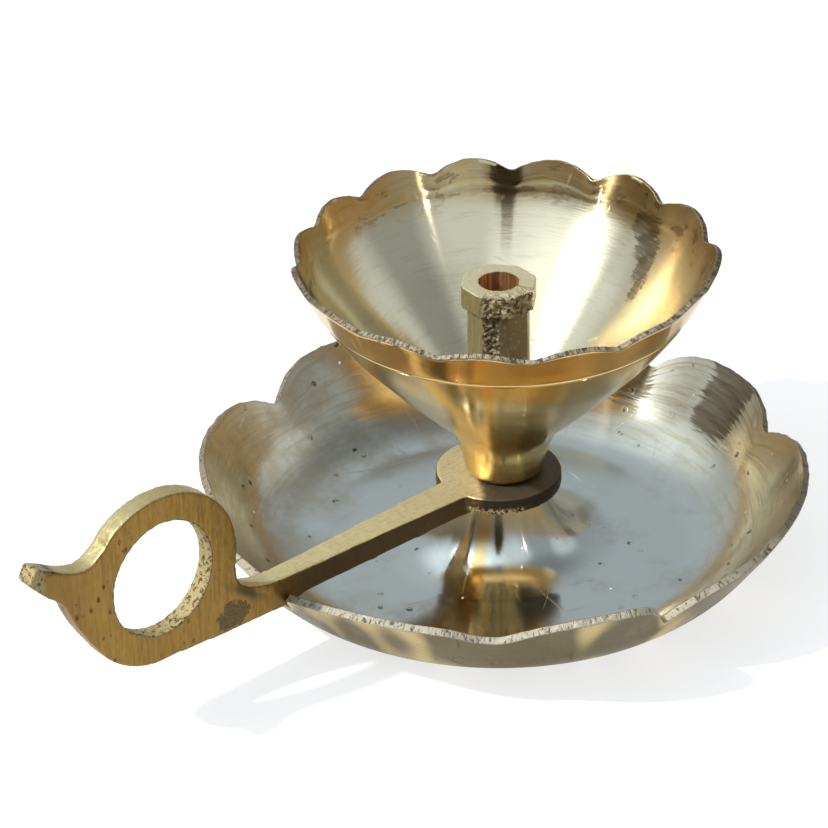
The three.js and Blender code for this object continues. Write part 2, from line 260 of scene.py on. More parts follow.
cupLook = {
    "outside": (0.86, 0.62, 0.26), "tarnish": (0.58, 0.34, 0.12), "inside": (0.92, 0.79, 0.53),
    "ring": (0.6, 0.46, 0.26), "rimGold": (0.8, 0.58, 0.26), "edge": (0.56, 0.48, 0.33),
    "shadedEdge": (0.27, 0.21, 0.13), "notch": (0.09, 0.065, 0.04), "darkPatch": (0.26, 0.18, 0.09),
    "rough": 0.09, "marks": 0.018, "fine": 0.006, "waves": 0.065,
    "lipSpan": (46.5, 51), "dullTurn": 320, "litTurn": 235, "scratches": [(15, 0.9), (-60, 1.0)],
    # turn, half width, height and reach: one dark run that narrows downwards
    "darkPatches": [(357, 8, 49, 4), (353, 7, 46.6, 4), (350, 5, 44.2, 4), (347, 3.5, 41.8, 4)],
}


def cupFinish():
    look = cupLook
    finish = Finish("cupBrass", cup["shift"])
    inner, edge, along = [finish.attribute(name) for name in ("inner", "edge", "along")]
    turning = finish.speckle(finish.lathe(along, 4, 1.0), 1, 4, 0.65)
    fine = finish.speckle(finish.lathe(along, 12, 0.28), 1, 2, 0.6)
    waves = finish.speckle(finish.place, 0.07, 1)
    cloud = finish.speckle(finish.place, 0.1, 5, 0.65)
    drawn = sum(finish.scratches(*way) for way in look["scratches"])
    high = finish.z.step(*look["lipSpan"])
    outside = finish.blend(cloud.step(0.4, 0.75) * 0.5 + high * 0.3, look["outside"],
                           look["tarnish"])
    # the top band of the inside is painted golder, a painted reflection of the opposite rim
    inside = finish.blend(high * (0.5 + 0.5 * cloud.step(0.35, 0.6)), look["inside"],
                          look["rimGold"])
    inside = finish.blend(turning.step(0.52, 0.72) * (0.25 + high * 0.3), inside, look["ring"])
    dulled = finish.facing(look["dullTurn"], 12, 38) * inner
    inside = finish.blend(dulled * 0.65, inside, look["ring"])
    ragged = (turning - 0.5) * 0.9 + (fine - 0.5) * 1.1
    smudge = finish.speckle(finish.lathe(along, 7, 2.4), 1, 3, 0.6).step(0.56, 0.64) * high
    inside = finish.blend(smudge * 0.6, inside, look["darkPatch"])
    for turn, half, height, reach in look["darkPatches"]:
        patch = finish.facing(turn, 0, half) * finish.z.near(height, reach)
        patch = (patch + ragged).step(0.34, 0.74) * (0.35 + turning * 0.8)
        inside = finish.blend(patch, inside, look["darkPatch"])
    colour = finish.blend(inner, outside, inside)
    filed = finish.speckle(finish.lathe(along * 0.8, 80, 1), 1, 4, 0.75)
    # cut faces turned away from litTurn take a darker colour, a painted shade
    cut = finish.blend(finish.facing(look["litTurn"], 30, 75), look["shadedEdge"], look["edge"])
    cut = finish.blend(filed.step(0.42, 0.55), look["notch"], cut)
    colour = finish.blend(edge, colour, cut)
    finish.set("Base Color", colour)
    finish.set("Roughness", look["rough"] + 0.04 * cloud + 0.03 * turning + 0.08 * drawn
               + edge * 0.32 + dulled * 0.14)
    finish.set("Metallic", 1 - edge * 0.6)
    finish.set("Anisotropic", 1)
    finish.set("Anisotropic Rotation", 0.25)
    finish.relief((waves, look["waves"]), (turning, look["marks"]), (fine, look["fine"]),
                  (drawn, -0.002), (filed * edge, 0.3))
    return finish.material


handleLook = {
    "side": (0.34, 0.2, 0.042), "sideDark": (0.2, 0.115, 0.03), "sideLight": (0.47, 0.3, 0.09),
    "top": (0.66, 0.56, 0.3), "ringTop": (0.5, 0.41, 0.19), "dark": (0.05, 0.035, 0.025),
    "shade": (0.13, 0.085, 0.045), "cast": (0.5, 0.39, 0.18), "castDark": (0.13, 0.08, 0.035),
    # cupShadow is the cup's shadow painted onto the eye
    "braze": (0.19, 0.15, 0.08), "cupShadow": (0.045, 0.037, 0.025), "burr": (0.75, 0.58, 0.27),
    "rough": 0.36,
    # places along the bar from the screw, and heights, in mm
    "shadeSpan": (-52, -40), "tailSpan": (-88, -80), "barSpan": (-62, -50), "pitSpan": (-66, -58),
    # shadowWay and shadowSpan place the cup's painted shadow across the eye
    "shadowWay": (0.74, -0.68), "shadowSpan": (-2.2, -0.8), "tailEnd": -90.3,
    "scuff": (-88.6, 34.6), "scuffSize": (2.2, 1.6), "brazeSpot": (-56.5, 12.5),
    "brazeSize": (2.8, 2.4), "creviceShade": (-53.6, 15.4), "creviceSize": (4.8, 1.7),
    "creviceSlope": 0.72,
}


def handleFinish():
    look = handleLook
    finish = Finish("handleBrass")
    x, y, z = finish.x, finish.y, finish.z
    normal = finish.split(finish.add("ShaderNodeTexCoord", {}, {}, "Normal"))
    up = normal[2].step(0.4, 0.75)
    streaks = finish.speckle(finish.join(x * 1.5, y, z * 0.11), 1, 4, 0.65)
    lines = finish.speckle(finish.join(x * 6, y, z * 0.35), 1, 3, 0.6)
    mottle = finish.speckle(finish.place, 0.28, 3, 0.6)
    grain = finish.speckle(finish.place, 1.5, 4, 0.7)
    colour = finish.blend(streaks.step(0.4, 0.72) * 0.75, look["side"], look["sideDark"])
    colour = finish.blend(lines.step(0.5, 0.72) * 0.5, colour, look["sideLight"])
    colour = finish.blend(x.step(*look["shadeSpan"]) * 0.85, colour, look["shade"])
    colour = finish.blend((1 - x.step(*look["tailSpan"])) * 0.5, colour, look["sideDark"])
    # the top faces are painted paler than the sides: painted sunlight on the top
    top = finish.blend(x.step(*look["barSpan"]), look["ringTop"], look["top"])
    top = finish.blend(grain.step(0.5, 0.7) * 0.3, top, look["sideDark"])
    drawn = finish.speckle(finish.join(x * 0.3, y * 5, z), 1, 3, 0.6).step(0.5, 0.7)
    top = finish.blend(drawn * 0.3, top, look["sideDark"])
    colour = finish.blend(up, colour, top)
    # a painted shadow of the cup darkens the eye's far half
    shadowX, shadowY = look["shadowWay"]
    filmAndShadow = (x * shadowX + y * shadowY + mottle * 2.5).step(*look["shadowSpan"])
    colour = finish.blend(filmAndShadow * (1 - 0.2 * grain), colour, look["cupShadow"])

    # a painted highlight on the burrs along the eye's lower front edge
    low = handle["top"] - handle["eyeThick"]
    burrEnd = handle["burrHalf"]
    burrHighlight = finish.facing(handle["burrTurn"], burrEnd - handle["burrFade"], burrEnd) \
        * (1 - z.step(low + 0.5, low + 1.3)) * (1 - up) \
        * finish.speckle(finish.place, 1.9, 3, 0.7).step(0.45, 0.55)
    colour = finish.blend(burrHighlight, colour, look["burr"])

    hx, hz = handle["holeCentre"]
    rx, rz = handle["hole"]
    inHole = ((x + hx) / rx) ** 2 + ((z - hz) / rz) ** 2
    raw = 1 - inHole.step(1.02, 1.07)
    raw = raw.maths("MAXIMUM", raw, 1 - x.step(look["tailEnd"] - 0.5, look["tailEnd"] + 0.5))
    blobs = finish.speckle(finish.place, 1.4, 4, 0.7)
    bare = finish.blend(blobs.step(0.52, 0.58), look["cast"], look["castDark"])
    colour = finish.blend(raw, colour, bare)

    (scuffX, scuffZ), (scuffLong, scuffTall) = look["scuff"], look["scuffSize"]
    scuff = x.near(scuffX, scuffLong) * z.near(scuffZ, scuffTall) \
        * (0.4 + grain.step(0.35, 0.6))
    (brazeX, brazeZ), (brazeLong, brazeTall) = look["brazeSpot"], look["brazeSize"]
    off = ((x - brazeX) / brazeLong) ** 2 + ((z - brazeZ) / brazeTall) ** 2
    off = off + (finish.speckle(finish.place, 0.55, 4, 0.7) - 0.5) * 4
    braze = 1 - off.step(0.75, 1.15)
    # painted shade in the crease where the bar meets the ring
    (creviceX, creviceZ), (creviceLong, creviceTall) = look["creviceShade"], look["creviceSize"]
    lean = (z - creviceZ) + (x - creviceX) * look["creviceSlope"]
    creviceShade = lean.near(0, creviceTall) * x.near(creviceX, creviceLong) * (1 - up)
    colour = finish.blend(scuff * 0.85, colour, look["dark"])
    colour = finish.blend(braze * (0.35 + 0.9 * grain), colour, look["braze"])
    colour = finish.blend(creviceShade * 0.9, colour, look["dark"])

    pits = 1 - finish.cells(finish.join(x, y, z * 0.6), 0.75).step(0.1, 0.3)
    sparse = finish.speckle(finish.place, 0.16, 2).step(0.5, 0.6)
    pits = pits * sparse * (1 - up) * (1 - x.step(*look["pitSpan"]))
    colour = finish.blend(pits * 0.75, colour, look["dark"])
    finish.set("Base Color", colour)
    finish.set("Roughness", look["rough"] + 0.15 * grain + 0.2 * raw + 0.2 * braze)
    finish.set("Metallic", 0.85 - 0.4 * up - 0.4 * raw * (1 - up) - 0.45 * burrHighlight)
    finish.relief((mottle, 0.15), (grain, 0.05), (lines, 0.012), (pits, -0.15),
                  (blobs * raw, 0.3), (braze * grain, 0.3))
    return finish.material


# directions round the post are turns of the row frame: the broken corner faces the camera
wickLook = {
    "skin": (0.42, 0.34, 0.16), "brown": (0.15, 0.11, 0.065), "smooth": (0.74, 0.64, 0.4),
    "pale": (0.52, 0.42, 0.24), "hole": (0.08, 0.06, 0.04), "bore": (0.4, 0.2, 0.08),
    "boreLight": (1.0, 0.64, 0.3), "rough": 0.42, "shadeTurn": 266, "boreSpan": (3.28, 3.4),
}


def wickFinish():
    look = wickLook
    finish = Finish("wickBrass")
    normal = finish.split(finish.add("ShaderNodeTexCoord", {}, {}, "Normal"))
    top = wick["foot"] + wick["tall"]
    neck = top - wick["headTall"]
    up = normal[2].step(0.5, 0.9) * finish.z.step(top - 0.5, top - 0.2)

    inHead = finish.z.step(neck - 0.3, neck + 0.1)
    headHalf, stemHalf = wick["headWidth"], wick["brokenWidth"]
    headBreak = finish.facing(wick["headTurn"], headHalf - 4, headHalf + 4)
    stemBreak = finish.facing(wick["brokenTurn"], stemHalf - 3, stemHalf + 3)
    broken = inHead * headBreak + (1 - inHead) * stemBreak
    shade = finish.facing(look["shadeTurn"], 36, 46) * (1 - broken)
    grit = finish.speckle(finish.place, 2.6, 4, 0.7)
    lumps = finish.speckle(finish.place, 1.1, 4, 0.7)
    brushed = finish.speckle(finish.join(finish.x * 3, finish.y * 3, finish.z * 0.25), 1, 3, 0.6)
    skin = finish.blend(brushed.step(0.35, 0.7) * 0.4, look["skin"], look["brown"])
    lit = inHead * 0.07     # the head's break catches more light than the stem's
    rust = finish.blend((lumps + lit).step(0.48, 0.62), look["brown"], look["pale"])
    rust = finish.blend(1 - grit.step(0.33, 0.42), rust, look["hole"])
    colour = finish.blend(shade * (0.9 - 0.5 * lumps.step(0.56, 0.66)), skin, look["brown"])
    colour = finish.blend(broken, colour, rust)
    plain = finish.blend(grit.step(0.45, 0.7) * 0.4, look["smooth"], look["skin"])
    colour = finish.blend(up * (1 - 0.35 * broken), colour, plain)
    inBore = 1 - finish.between(look["boreSpan"])
    stripes = finish.speckle(finish.lathe(finish.z, 2.6, 40), 1, 3, 0.6).step(0.42, 0.6)
    colour = finish.blend(inBore, colour,
                          finish.blend(stripes, look["bore"], look["boreLight"]))
    finish.set("Base Color", colour)
    finish.set("Roughness", look["rough"] + 0.15 * grit - 0.1 * inBore)
    finish.set("Metallic", 0.55 + 0.15 * inBore)
    finish.relief((lumps * (broken + 0.3), 0.3), (grit * (0.2 + broken), 0.2))
    return finish.material


screwLook = {"turned": (0.62, 0.48, 0.24), "dull": (0.3, 0.22, 0.1), "rough": 0.3}


def screwFinish(name, pitch):
    look = screwLook
    finish = Finish(name)
    rings = finish.speckle(finish.lathe(finish.radius + finish.z, 3, pitch), 1, 3, 0.6)
    filmAndShadow = finish.speckle(finish.place, 0.5, 4, 0.65)
    colour = finish.blend(filmAndShadow.step(0.4, 0.7) * 0.8, look["turned"], look["dull"])
    finish.set("Base Color", finish.blend(rings.step(0.55, 0.75) * 0.4, colour, look["dull"]))
    finish.set("Roughness", look["rough"] + 0.25 * filmAndShadow)
    finish.relief((rings, 0.02), (filmAndShadow, 0.03))
    return finish.material


# bodies of revolution with scalloped rims

def rimDrop(lobes, power, angle):
    turn = angle % 360
    for i, lobe in enumerate(lobes):
        following = lobes[(i + 1) % len(lobes)]
        span = (following["at"] - lobe["at"]) % 360
        along = (turn - lobe["at"]) % 360
        if along < span:
            part = along / span
            before = part < lobe["peak"]
            edge = lobe["drop"] if before else following["drop"]
            away = (lobe["peak"] - part) / lobe["peak"] if before \
                else (part - lobe["peak"]) / (1 - lobe["peak"])
            return lobe["top"] + (edge - lobe["top"]) * away ** power
    return 0


def turnAway(angle, turn):
    # degrees between two directions, whichever way round is shorter
    return abs((angle - turn + 180) % 360 - 180)


def softDrop(shape, angle):
    # the valleys are filed round, one more than the rest, so the drop is a mean over some degrees
    shares = {-3: 1, -2: 2, -1: 3, 0: 3, 1: 3, 2: 2, 3: 1}
    turn, more = shape["filed"]
    soft = shape["soft"] + more * max(1 - turnAway(angle, turn) / 25, 0)
    return sum(rimDrop(shape["lobes"], shape["power"], angle + soft * k / 3) * share
               for k, share in shares.items()) / sum(shares.values())


def turned(profile, lobes, stepsPerLobe):
    # profile points are (radius, height, inner, edge); the last two tint the surface
    bm = bmesh.new()
    inner, edge, along = [bm.verts.layers.float.new(name) for name in ("inner", "edge", "along")]
    ring, travelled = [], 0
    for i, (radius, height, isInner, isEdge) in enumerate(profile):
        if i:
            travelled += hypot(radius - profile[i - 1][0], height - profile[i - 1][1])
        v = bm.verts.new((radius, 0, height))
        v[inner], v[edge], v[along] = isInner, isEdge, travelled
        ring.append(v)
    loop = [bm.edges.new((ring[i], ring[(i + 1) % len(ring)])) for i in range(len(ring))]
    start = Matrix.Rotation(radians(lobes[0]["at"]), 3, "Z")
    bmesh.ops.rotate(bm, verts=ring, matrix=start)
    last = ring + loop
    for i, lobe in enumerate(lobes):
        span = (lobes[(i + 1) % len(lobes)]["at"] - lobe["at"]) % 360
        made = bmesh.ops.spin(bm, geom=last, axis=(0, 0, 1), angle=radians(span),
                              steps=stepsPerLobe, use_duplicate=False)
        last = made["geom_last"]
    bmesh.ops.remove_doubles(bm, verts=bm.verts, dist=0.001)
    bmesh.ops.recalc_face_normals(bm, faces=bm.faces)
    return bm


def zoned(points, inner=0, edge=0):
    return [(radius, height, inner, edge) for radius, height in points]


def asMesh(bm, name):
    mesh = bpy.data.meshes.new(name)
    bm.to_mesh(mesh)
    bm.free()
    return mesh


def placed(name, data):
    thing = bpy.data.objects.new(name, data)
    bpy.context.scene.collection.objects.link(thing)
    return thing


def finished(bm, name, material, body, node, sharp=35):
    bmesh.ops.scale(bm, verts=bm.verts, vec=(0.001, 0.001, 0.001))
    mesh = asMesh(bm, name)
    mesh.polygons.foreach_set("use_smooth", [True] * len(mesh.polygons))
    mesh.set_sharp_from_angle(angle=radians(sharp))
    mesh.materials.append(material)
    piece = placed(name, mesh)
    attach(piece, body)
    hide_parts(node)
    print(name, len(mesh.polygons), "faces")
    return piece


def ontoAxis(bm, dx=0, dy=0):
    bmesh.ops.translate(bm, verts=bm.verts, vec=(screwAxis[0] + dx, screwAxis[1] + dy, 0))


def smoothThrough(knots, x):
    i = 0
    while i < len(knots) - 2 and x > knots[i + 1][0]:
        i += 1
    (x0, y0), (x1, y1) = knots[i], knots[i + 1]
    before, after = knots[max(i - 1, 0)], knots[min(i + 2, len(knots) - 1)]
    span = x1 - x0
    m0 = span * (y1 - before[1]) / (x1 - before[0])
    m1 = span * (after[1] - y0) / (after[0] - x0)
    t = (x - x0) / span
    return ((2 * t ** 3 - 3 * t ** 2 + 1) * y0 + (t ** 3 - 2 * t ** 2 + t) * m0
            + (3 * t ** 2 - 2 * t ** 3) * y1 + (t ** 3 - t ** 2) * m1)


# the drip plate

plate = {
    "radius": 50, "height": 15.5, "wall": 1.6, "flare": 0.7, "foot": 30, "footInner": 19,
    "hole": 2.25, "seat": 7.5, "seatTop": 12.35, "reach": 3.2, "seatWall": 1.8,
    "power": 2.8, "steps": 44, "notchHalf": 2.15, "notchDrop": 7.1, "edgeRough": 0.2,
    "soft": 1.6, "filed": (226, 3.5), "rimThin": 0.84, "flankSteps": 30, "arcSteps": 16,
    "wallSteps": 10, "cutAt": (0.12, 0.35, 0.65, 0.88), "edgeSoft": 0.12,
    "lobes": [
        {"at": 180, "drop": 5.3, "top": 0.5, "peak": 0.74},
        {"at": 226, "drop": 4.0, "top": -1.6, "peak": 0.69},
        {"at": 260.5, "drop": 5.5, "top": 0, "peak": 0.58},
        {"at": 288.5, "drop": 3.5, "top": -0.3, "peak": 0.55},
        {"at": 336.7, "drop": 3.6, "top": -0.3, "peak": 0.52},
        {"at": 13.1, "drop": 4.3, "top": 0, "peak": 0.5},
        {"at": 57.5, "drop": 4.0, "top": 0, "peak": 0.54},
        {"at": 102, "drop": 4.8, "top": 0.6, "peak": 0.47},
        {"at": 143.5, "drop": 4.7, "top": 0, "peak": 0.5},
    ],
}


def flank(part):
    width = plate["footInner"] - plate["seat"]
    fade, rest = exp(-part * width / plate["reach"]), exp(-width / plate["reach"])
    rise = (plate["seatTop"] - plate["wall"]) / (1 - rest)
    slope = -rise * fade / plate["reach"]
    return plate["seat"] + part * width, plate["wall"] + rise * (fade - rest), slope


def plateBend():
    lean = atan2(1, plate["flare"])
    width = plate["radius"] - plate["foot"]
    det = sin(lean) ** 2 - cos(lean) * (1 - cos(lean))
    return lean, (width * sin(lean) - plate["height"] * cos(lean)) / det


def pointsBetween(a, b, count):
    return [(a[0] + (b[0] - a[0]) * k / count, a[1] + (b[1] - a[1]) * k / count)
            for k in range(1, count)]


def plateProfile():
    wall, foot = plate["wall"], plate["foot"]
    lean, bend = plateBend()
    upper, lower = [(plate["seat"] - 0.3, plate["seatTop"])], []
    steps = plate["flankSteps"]
    for k in range(1, steps + 1):
        part = (k / steps) ** 1.5
        radius, height, slope = flank(part)
        length = hypot(1, slope)
        upper.append((radius, height))
        lower.append((radius + wall * slope / length, max(height - wall / length, 0)))
    lower[-1] = (plate["footInner"], 0)
    underSeat = (plate["seat"] - plate["seatWall"], plate["seatTop"] - plate["seatWall"])
    lower = [underSeat] + [p for p in lower if p[0] > underSeat[0] + 0.05]
    arc = [lean * k / plate["arcSteps"] for k in range(plate["arcSteps"] + 1)]
    outer = [(foot + bend * sin(a), bend * (1 - cos(a))) for a in arc]
    inner = [(foot + (bend - wall) * sin(a), wall + (bend - wall) * (1 - cos(a))) for a in arc]
    rim = (plate["radius"], plate["height"])
    inward = (-sin(lean) * wall * plate["rimThin"], cos(lean) * wall * plate["rimThin"])
    rimIn = (rim[0] + inward[0], rim[1] + inward[1])
    outWall = pointsBetween(outer[-1], rim, plate["wallSteps"])
    inWall = pointsBetween(rimIn, inner[-1], plate["wallSteps"])
    cut = [(rim[0] + inward[0] * t, rim[1] + inward[1] * t) for t in plate["cutAt"]]
    soft = plate["edgeSoft"]
    edgeOut = (rim[0] - plate["flare"] * soft, rim[1] - soft)
    edgeIn = (rimIn[0] - plate["flare"] * soft, rimIn[1] - soft)
    flat = pointsBetween((plate["footInner"], 0), (foot, 0), 6)
    flatTop = pointsBetween((foot, wall), (plate["footInner"], wall), 12)
    return (zoned([(plate["hole"], underSeat[1])] + lower + flat + outer
                  + outWall + [edgeOut]) + zoned(cut, 1, 1)
            + zoned([edgeIn] + inWall + inner[::-1] + flatTop + upper[::-1]
                    + [(plate["hole"], plate["seatTop"])], 1))


def shapePlate(bm):
    lean, bend = plateBend()
    arcTop = bend * (1 - cos(lean))
    for v in bm.verts:
        radius = hypot(v.co.x, v.co.y)
        angle = atan2(v.co.y, v.co.x)
        if radius > plate["foot"] and v.co.z > arcTop:
            drop = softDrop(plate, degrees(angle))
            # the notch for the handle's bar is on the side of -X
            beside = plate["notchHalf"] + 0.5 - abs(v.co.y)
            if v.co.x < 0 and beside > 0:
                drop += (max(plate["notchDrop"], drop) - drop) * min(beside / 0.5, 1)
            inside = (v.co.z - plate["height"]) * sin(lean) \
                - (radius - plate["radius"]) * cos(lean)
            raised = max(min(inside, plate["wall"]), 0) * cos(lean)
            top, low = plate["height"] + raised, arcTop + raised
            part = min(max((v.co.z - low) / (top - low), 0), 1)
            ragged = noise.noise(Vector((cos(angle) * 38, sin(angle) * 38, inside)) * 0.9) \
                * plate["edgeRough"] * part ** 6
            fall = drop * part - ragged
            radius -= plate["flare"] * fall
            v.co.z -= fall
        wobble = noise.noise(Vector((cos(angle), sin(angle), v.co.z * 0.04)) * 1.7)
        if radius > plate["foot"]:
            radius += 0.12 * wobble * min((radius - plate["foot"]) / 12, 1)
        v.co.x, v.co.y = radius * cos(angle), radius * sin(angle)


def makePlate(material):
    bm = turned(plateProfile(), plate["lobes"], plate["steps"])
    shapePlate(bm)
    ontoAxis(bm)
    return finished(bm, "dripPlate", material, "base", "drip_plate")


# the oil cup, heights above its foot

cup = {
    "foot": 15.15, "height": 39.2, "wall": 1.45, "shift": (0.66, -0.61), "floor": 5.4,
    "footRadius": 5.4, "chamfer": 1.1, "hole": 3.15, "floorRadius": 6.4, "power": 1.8, "steps": 24,
    "groove": 32, "grooveWidth": 0.7, "grooveDepth": 0.28, "edgeRough": 0.22, "soft": 1.6,
    "filed": (232, 2.5), "lip": 35.4, "lipLean": 0.05, "ridge": 0.1, "thin": 0.62,
    "outline": [(1.1, 6.45), (4.4, 7.2), (8.4, 8.9), (12.4, 12.8), (16.4, 16.8), (20.4, 20.6),
                (25.4, 25.1), (32, 29.9), (36.4, 32.3), (39.2, 33.8), (41.2, 34.7)],
    "lobes": [
        {"at": 185.9, "drop": 1.1, "top": 0.1, "peak": 0.5},
        {"at": 209, "drop": 2.2, "top": 0.3, "peak": 0.5},
        {"at": 233.7, "drop": 2.3, "top": 0.3, "peak": 0.5},
        {"at": 259.4, "drop": 2.5, "top": 0.7, "peak": 0.5},
        {"at": 278, "drop": 0.9, "top": -1.2, "peak": 0.5},
        {"at": 299.7, "drop": 2.0, "top": -0.6, "peak": 0.5},
        {"at": 328, "drop": 1.8, "top": -0.3, "peak": 0.5},
        {"at": 355.5, "drop": 2.1, "top": -0.3, "peak": 0.5},
        {"at": 20.4, "drop": 2.3, "top": -0.1, "peak": 0.5},
        {"at": 45.3, "drop": 2.1, "top": -0.1, "peak": 0.5},
        {"at": 68.7, "drop": 1.9, "top": -0.1, "peak": 0.5},
        {"at": 93.3, "drop": 2.2, "top": 0.2, "peak": 0.5},
        {"at": 115.5, "drop": 2.1, "top": 0.5, "peak": 0.5},
        {"at": 139.1, "drop": 2.5, "top": 0.1, "peak": 0.5},
        {"at": 159.8, "drop": 1.7, "top": 0.1, "peak": 0.5},
    ],
}


def cupOut(height):
    radius = smoothThrough(cup["outline"], height)
    away = abs(height - cup["groove"]) / cup["grooveWidth"]
    return radius - cup["grooveDepth"] * max(1 - (2 * away) ** 2, 0)


def cupIn(height):
    radius = smoothThrough(cup["outline"], height)
    slope = (smoothThrough(cup["outline"], height + 0.05)
             - smoothThrough(cup["outline"], height - 0.05)) / 0.1
    length = hypot(1, slope)
    past = height - cup["lip"]
    wall = cup["wall"] - cup["thin"] * min(max((height - 14) / (cup["lip"] - 14), 0), 1)
    wall += max(past, 0) * cup["lipLean"] + cup["ridge"] * max(1 - (past / 0.4) ** 2, 0)
    return radius - wall / length, height + wall * slope / length


def cupProfile():
    top, groove = cup["height"], cup["groove"]
    outside = [cup["chamfer"] + (groove - 0.6 - cup["chamfer"]) * k / 48 for k in range(49)]
    outside += [groove - 0.35 + 0.1 * k for k in range(8)]
    outside += [groove + 0.6 + (top - groove - 0.75) * k / 12 for k in range(13)]
    low = 8.6
    inside = [top - 0.15 - (top - 0.15 - low) * k / 56 for k in range(57)]
    rimOut, rimIn = (cupOut(top), top), cupIn(top)
    cut = [(rimOut[0] + (rimIn[0] - rimOut[0]) * t, rimOut[1] + (rimIn[1] - rimOut[1]) * t)
           for t in (0.12, 0.35, 0.65, 0.88)]
    well = cupIn(low)
    floor = (cup["floorRadius"], cup["floor"])
    wide, tall = well[0] - floor[0], well[1] - floor[1]
    blend = [(floor[0] + wide * t ** 1.4, floor[1] + tall * t ** 0.8)
             for t in (0.8, 0.6, 0.4, 0.25, 0.12, 0.05)]
    return (zoned([(cup["hole"], 0), (cup["footRadius"], 0), (cup["footRadius"] + 0.5, 0.25)]
                  + [(cupOut(h), h) for h in outside]) + zoned(cut, 1, 1)
            + zoned([cupIn(h) for h in inside] + blend + [floor, (cup["hole"], cup["floor"])], 1))


def shapeCup(bm):
    top, start = cup["height"], cup["groove"] + 0.5
    inner = bm.verts.layers.float["inner"]
    for v in bm.verts:
        radius, height = hypot(v.co.x, v.co.y), v.co.z
        angle = atan2(v.co.y, v.co.x)
        lift = cup["wall"] * 0.42 * v[inner]        # the inside of the rim stands higher
        if height > start + lift:
            drop = softDrop(cup, degrees(angle))
            part = min((height - start - lift) / (top - start), 1)
            ragged = noise.noise(Vector((cos(angle) * 30, sin(angle) * 30, radius)) * 0.8) \
                * cup["edgeRough"] * part ** 8
            fall = drop * part - ragged
            radius -= smoothThrough(cup["outline"], height) \
                - smoothThrough(cup["outline"], height - fall)
            height -= fall
        wave = noise.noise(Vector((cos(angle) * 1.6, sin(angle) * 1.6, height * 0.06)))
        radius += 0.1 * wave * min(height / 15, 1)
        v.co = (radius * cos(angle), radius * sin(angle), height)


def makeCup(material):
    bm = turned(cupProfile(), cup["lobes"], cup["steps"])
    shapeCup(bm)
    bmesh.ops.translate(bm, verts=bm.verts, vec=(0, 0, cup["foot"]))
    ontoAxis(bm, *cup["shift"])
    return finished(bm, "oilCup", material, "base", "oil_cup")


# the handle: outline seen from the side, lengths outward from the screw

handle = {
    "top": 15.1, "eye": 10.2, "eyeThick": 2.7, "eyeSoft": 0.3, "rootWidth": 6.1,
    "taperEnd": 54, "thick": 3.2, "ring": (69.3, 24.4), "ringRadius": 14.2,
    "hole": (9.1, 9.5), "holeCentre": (69.15, 24.5), "screwHole": 2.25, "voxel": 0.3,
    "burrTurn": 226, "burrHalf": 30, "burrFade": 8, "burrTop": 13.9, "burr": 0.5, "rough": 0.05,
    "tailTop": [(79.3, 34.05), (80.7, 33.0), (82, 32.2), (83.5, 32.05), (85.2, 32.45),
                (87, 33.25), (88.7, 34.25), (90.4, 35.15), (91.7, 35.7)],
    "tailUnder": [(92.8, 33.5), (91.8, 32.15), (89.7, 29.95), (88, 28.55), (87, 27.55),
                  (86.4, 26.25), (85.6, 24.15), (84.5, 21.95), (83.2, 19.75)],
    "fillet": [(46, 14.95), (48.7, 15.05), (50.6, 15.45), (53, 16.15), (54.6, 17.2), (55.3, 18.6)],
    "bottom": [(57, 9.7), (45.6, 9.75), (42, 10.7), (9, 11.65), (8, 11.7)],
}


def ringArc(start, end, count):
    centre, radius = handle["ring"], handle["ringRadius"]
    return [(centre[0] + radius * cos(radians(start + (end - start) * k / count)),
             centre[1] + radius * sin(radians(start + (end - start) * k / count)))
            for k in range(count + 1)]


def barHalf(out):
    part = min(max((out - 10) / (handle["taperEnd"] - 10), 0), 1)
    return (handle["rootWidth"] + (handle["thick"] - handle["rootWidth"]) * part) / 2


